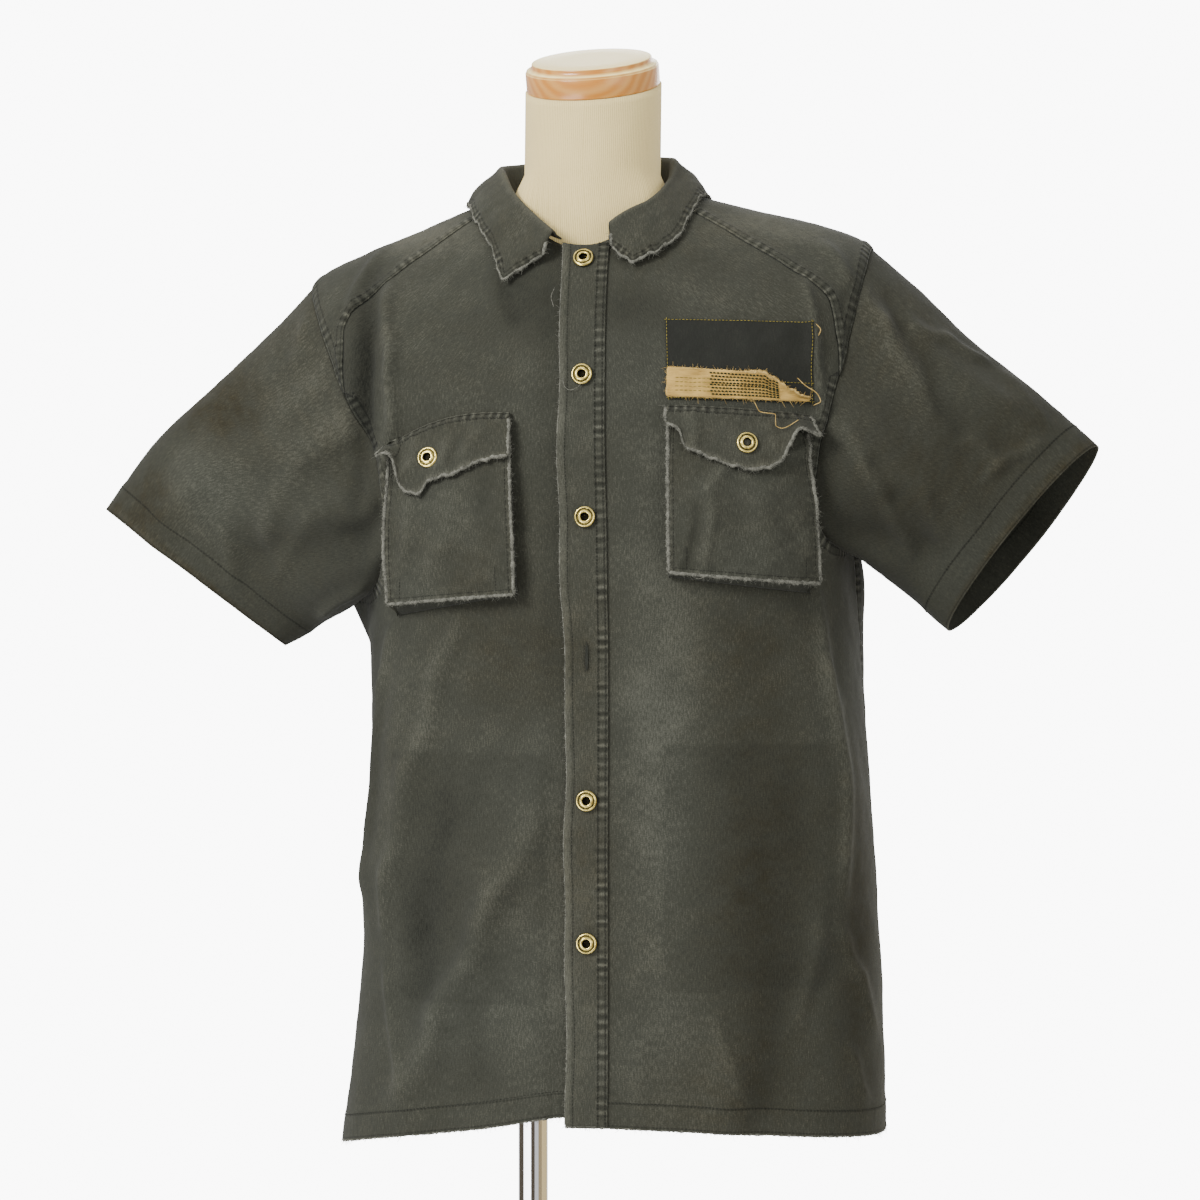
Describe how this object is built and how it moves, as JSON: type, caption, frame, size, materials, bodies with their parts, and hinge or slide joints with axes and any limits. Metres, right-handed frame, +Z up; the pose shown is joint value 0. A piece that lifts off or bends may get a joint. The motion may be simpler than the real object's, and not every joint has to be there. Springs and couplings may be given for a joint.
{
  "type": "short-sleeved work shirt on a dress form",
  "caption": "Short-sleeved button-front work shirt with flapped chest pockets and raw edges, worn open at neck, cuffs and hem on a limbless padded dress form on a pole stand.",
  "frame": {"origin": "centre of the stand's round base, on the floor plane, under the pole", "axes": "+Z up along the pole; the shirt's front faces -Y; +X is the wearer's left, the viewer's right"},
  "size_m": [0.8538, 0.38, 1.3511],
  "materials": {
    "charcoal_twill": "faded cotton twill with raw edges",
    "unfaded_twill": "darker unfaded cotton twill",
    "beige_tape": "woven cotton tape, torn",
    "brass": "worn antique brass",
    "rib_knit": "cream rib-knit cover",
    "maple": "varnished",
    "chrome": "polished",
    "painted_steel": "satin"
  },
  "bodies": {
    "root": {"back": "charcoal_twill", "base": "painted_steel", "button_1": "brass", "button_2": "brass", "button_3": "brass", "button_4": "brass", "button_5": "brass", "chest_patch": "unfaded_twill", "collar": "charcoal_twill", "flap_button_left": "brass", "flap_button_right": "brass", "flap_left": "charcoal_twill", "flap_right": "charcoal_twill", "form_torso": "rib_knit", "front_left": "charcoal_twill", "front_right": "charcoal_twill", "label_tape": "beige_tape", "neck_cap": "maple", "placket": "charcoal_twill", "pocket_left": "charcoal_twill", "pocket_right": "charcoal_twill", "pole": "chrome", "sleeve_left": "charcoal_twill", "sleeve_right": "charcoal_twill", "yoke_left": "charcoal_twill", "yoke_right": "charcoal_twill"}
  },
  "joints": []
}
